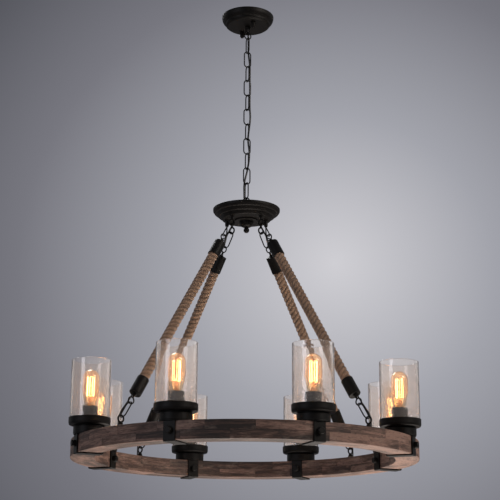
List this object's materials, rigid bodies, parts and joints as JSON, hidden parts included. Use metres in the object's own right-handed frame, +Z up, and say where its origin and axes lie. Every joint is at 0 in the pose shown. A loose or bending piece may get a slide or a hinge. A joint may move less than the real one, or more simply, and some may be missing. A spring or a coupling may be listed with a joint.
{
  "type": "chandelier",
  "caption": "Wagon wheel chandelier: laminated wooden ring with cylinder glass lights, hung by rope legs from a hub on a chain below a ceiling canopy.",
  "frame": {"origin": "middle of the two ceiling screws, on the ceiling plane at the canopy rim", "axes": "+Z up out of the canopy into the ceiling, +X along the two screws, -Y towards the viewer"},
  "size_m": [0.85, 0.85, 1.1905],
  "materials": {
    "bronze_paint": "oil-rubbed bronze, satin, nearly black",
    "zinc_steel": "zinc plated",
    "phenolic": "moulded black",
    "cable": "smooth satin jacket",
    "rope": "three-strand natural fibre",
    "wood": "weathered brown stain, matt",
    "bulb_glass": "clear amber glass over a filament",
    "seeded_glass": "clear, with small bubbles"
  },
  "bodies": {
    "canopy": {"canopy_shell": "bronze_paint", "crossbar": "zinc_steel", "canopy_stud_bar": "zinc_steel", "canopy_nipple": "zinc_steel", "canopy_loop": "bronze_paint", "wire_connectors": "phenolic", "main_cable": "cable"},
    "nut_right": {"thumb_nut_right": "bronze_paint"},
    "nut_left": {"thumb_nut_left": "bronze_paint"},
    "ring": {"canopy_ring": "bronze_paint"},
    "link_01": {"chain_link_01": "bronze_paint"},
    "link_02": {"chain_link_02": "bronze_paint"},
    "link_03": {"chain_link_03": "bronze_paint"},
    "link_04": {"chain_link_04": "bronze_paint"},
    "link_05": {"chain_link_05": "bronze_paint"},
    "link_06": {"chain_link_06": "bronze_paint"},
    "link_07": {"chain_link_07": "bronze_paint"},
    "link_08": {"chain_link_08": "bronze_paint"},
    "link_09": {"chain_link_09": "bronze_paint"},
    "link_10": {"chain_link_10": "bronze_paint"},
    "link_11": {"chain_link_11": "bronze_paint"},
    "fixture": {"hub_loop": "bronze_paint", "hub_cover": "bronze_paint", "hub_plate": "bronze_paint", "hub_cap": "bronze_paint", "hub_rod": "zinc_steel", "hub_eyes": "bronze_paint", "cable_glands": "phenolic", "leg_links": "bronze_paint", "rope_ferrules": "bronze_paint", "ropes": "rope", "wheel_top_blocks": "wood", "wheel_bottom_blocks": "wood", "wheel_eyes": "bronze_paint", "ring_wiring": "cable", "straps": "bronze_paint", "strap_bolts": "bronze_paint", "light_bases": "bronze_paint", "cups": "bronze_paint", "lamp_tubes": "zinc_steel", "sockets": "phenolic", "branch_cables": "cable"},
    "finial": {"finial": "bronze_paint"},
    "bulb_1": {"bulb_1": "bulb_glass"},
    "bulb_2": {"bulb_2": "bulb_glass"},
    "bulb_3": {"bulb_3": "bulb_glass"},
    "bulb_4": {"bulb_4": "bulb_glass"},
    "bulb_5": {"bulb_5": "bulb_glass"},
    "bulb_6": {"bulb_6": "bulb_glass"},
    "bulb_7": {"bulb_7": "bulb_glass"},
    "bulb_8": {"bulb_8": "bulb_glass"},
    "shade_1": {"shade_1": "seeded_glass"},
    "shade_2": {"shade_2": "seeded_glass"},
    "shade_3": {"shade_3": "seeded_glass"},
    "shade_4": {"shade_4": "seeded_glass"},
    "shade_5": {"shade_5": "seeded_glass"},
    "shade_6": {"shade_6": "seeded_glass"},
    "shade_7": {"shade_7": "seeded_glass"},
    "shade_8": {"shade_8": "seeded_glass"}
  },
  "joints": [
    {"name": "ring_swing", "type": "hinge", "parent": "canopy", "child": "ring", "pos_m": [0, 0, -0.0474], "axis": [0.766, -0.6428, 0], "range_deg": [-8, 8], "deforming": ["main_cable"]},
    {"name": "link_01_swing", "type": "hinge", "parent": "ring", "child": "link_01", "pos_m": [0, 0, -0.06295], "axis": [0.9063, 0.4226, 0], "range_deg": [-8, 8], "deforming": ["main_cable"]},
    {"name": "link_02_swing", "type": "hinge", "parent": "link_01", "child": "link_02", "pos_m": [0, 0, -0.10375], "axis": [-0.4226, 0.9063, 0], "range_deg": [-8, 8], "deforming": ["main_cable"]},
    {"name": "link_03_swing", "type": "hinge", "parent": "link_02", "child": "link_03", "pos_m": [0, 0, -0.1446], "axis": [0.9063, 0.4226, 0], "range_deg": [-8, 8], "deforming": ["main_cable"]},
    {"name": "link_04_swing", "type": "hinge", "parent": "link_03", "child": "link_04", "pos_m": [0, 0, -0.18545], "axis": [-0.4226, 0.9063, 0], "range_deg": [-8, 8], "deforming": ["main_cable"]},
    {"name": "link_05_swing", "type": "hinge", "parent": "link_04", "child": "link_05", "pos_m": [0, 0, -0.2263], "axis": [0.9063, 0.4226, 0], "range_deg": [-8, 8], "deforming": ["main_cable"]},
    {"name": "link_06_swing", "type": "hinge", "parent": "link_05", "child": "link_06", "pos_m": [0, 0, -0.26715], "axis": [-0.4226, 0.9063, 0], "range_deg": [-8, 8], "deforming": ["main_cable"]},
    {"name": "link_07_swing", "type": "hinge", "parent": "link_06", "child": "link_07", "pos_m": [0, 0, -0.308], "axis": [0.9063, 0.4226, 0], "range_deg": [-8, 8], "deforming": ["main_cable"]},
    {"name": "link_08_swing", "type": "hinge", "parent": "link_07", "child": "link_08", "pos_m": [0, 0, -0.34885], "axis": [-0.4226, 0.9063, 0], "range_deg": [-8, 8], "deforming": ["main_cable"]},
    {"name": "link_09_swing", "type": "hinge", "parent": "link_08", "child": "link_09", "pos_m": [0, 0, -0.3897], "axis": [0.9063, 0.4226, 0], "range_deg": [-8, 8], "deforming": ["main_cable"]},
    {"name": "link_10_swing", "type": "hinge", "parent": "link_09", "child": "link_10", "pos_m": [0, 0, -0.43055], "axis": [-0.4226, 0.9063, 0], "range_deg": [-8, 8], "deforming": ["main_cable"]},
    {"name": "link_11_swing", "type": "hinge", "parent": "link_10", "child": "link_11", "pos_m": [0, 0, -0.4714], "axis": [0.9063, 0.4226, 0], "range_deg": [-8, 8], "deforming": ["main_cable"]},
    {"name": "fixture_twist", "type": "hinge", "parent": "link_11", "child": "fixture", "pos_m": [0, 0, -0.51065], "axis": [0, 0, 1], "range_deg": [-20, 20], "deforming": ["main_cable"]},
    {"name": "nut_right_turn", "type": "hinge", "parent": "canopy", "child": "nut_right", "pos_m": [0.01501, -0.03162, -0.036], "axis": [0, 0, 1], "range_deg": [0, 360]},
    {"name": "nut_left_turn", "type": "hinge", "parent": "canopy", "child": "nut_left", "pos_m": [-0.01501, 0.03162, -0.036], "axis": [0, 0, 1], "range_deg": [0, 360]},
    {"name": "finial_turn", "type": "hinge", "parent": "fixture", "child": "finial", "pos_m": [0, 0, -0.593], "axis": [0, 0, 1], "range_deg": [0, 360]},
    {"name": "shade_1_lift", "type": "slide", "parent": "fixture", "child": "shade_1", "axis": [0, 0, 1], "range_m": [0, 0.14]},
    {"name": "shade_2_lift", "type": "slide", "parent": "fixture", "child": "shade_2", "axis": [0, 0, 1], "range_m": [0, 0.14]},
    {"name": "shade_3_lift", "type": "slide", "parent": "fixture", "child": "shade_3", "axis": [0, 0, 1], "range_m": [0, 0.14]},
    {"name": "shade_4_lift", "type": "slide", "parent": "fixture", "child": "shade_4", "axis": [0, 0, 1], "range_m": [0, 0.14]},
    {"name": "shade_5_lift", "type": "slide", "parent": "fixture", "child": "shade_5", "axis": [0, 0, 1], "range_m": [0, 0.14]},
    {"name": "shade_6_lift", "type": "slide", "parent": "fixture", "child": "shade_6", "axis": [0, 0, 1], "range_m": [0, 0.14]},
    {"name": "shade_7_lift", "type": "slide", "parent": "fixture", "child": "shade_7", "axis": [0, 0, 1], "range_m": [0, 0.14]},
    {"name": "shade_8_lift", "type": "slide", "parent": "fixture", "child": "shade_8", "axis": [0, 0, 1], "range_m": [0, 0.14]},
    {"name": "bulb_1_turn", "type": "hinge", "parent": "fixture", "child": "bulb_1", "pos_m": [0.36586, 0.15154, -1.088], "axis": [0, 0, 1], "range_deg": [0, 90]},
    {"name": "bulb_2_turn", "type": "hinge", "parent": "fixture", "child": "bulb_2", "pos_m": [0.15154, 0.36586, -1.088], "axis": [0, 0, 1], "range_deg": [0, 90]},
    {"name": "bulb_3_turn", "type": "hinge", "parent": "fixture", "child": "bulb_3", "pos_m": [-0.15154, 0.36586, -1.088], "axis": [0, 0, 1], "range_deg": [0, 90]},
    {"name": "bulb_4_turn", "type": "hinge", "parent": "fixture", "child": "bulb_4", "pos_m": [-0.36586, 0.15154, -1.088], "axis": [0, 0, 1], "range_deg": [0, 90]},
    {"name": "bulb_5_turn", "type": "hinge", "parent": "fixture", "child": "bulb_5", "pos_m": [-0.36586, -0.15154, -1.088], "axis": [0, 0, 1], "range_deg": [0, 90]},
    {"name": "bulb_6_turn", "type": "hinge", "parent": "fixture", "child": "bulb_6", "pos_m": [-0.15154, -0.36586, -1.088], "axis": [0, 0, 1], "range_deg": [0, 90]},
    {"name": "bulb_7_turn", "type": "hinge", "parent": "fixture", "child": "bulb_7", "pos_m": [0.15154, -0.36586, -1.088], "axis": [0, 0, 1], "range_deg": [0, 90]},
    {"name": "bulb_8_turn", "type": "hinge", "parent": "fixture", "child": "bulb_8", "pos_m": [0.36586, -0.15154, -1.088], "axis": [0, 0, 1], "range_deg": [0, 90]}
  ]
}
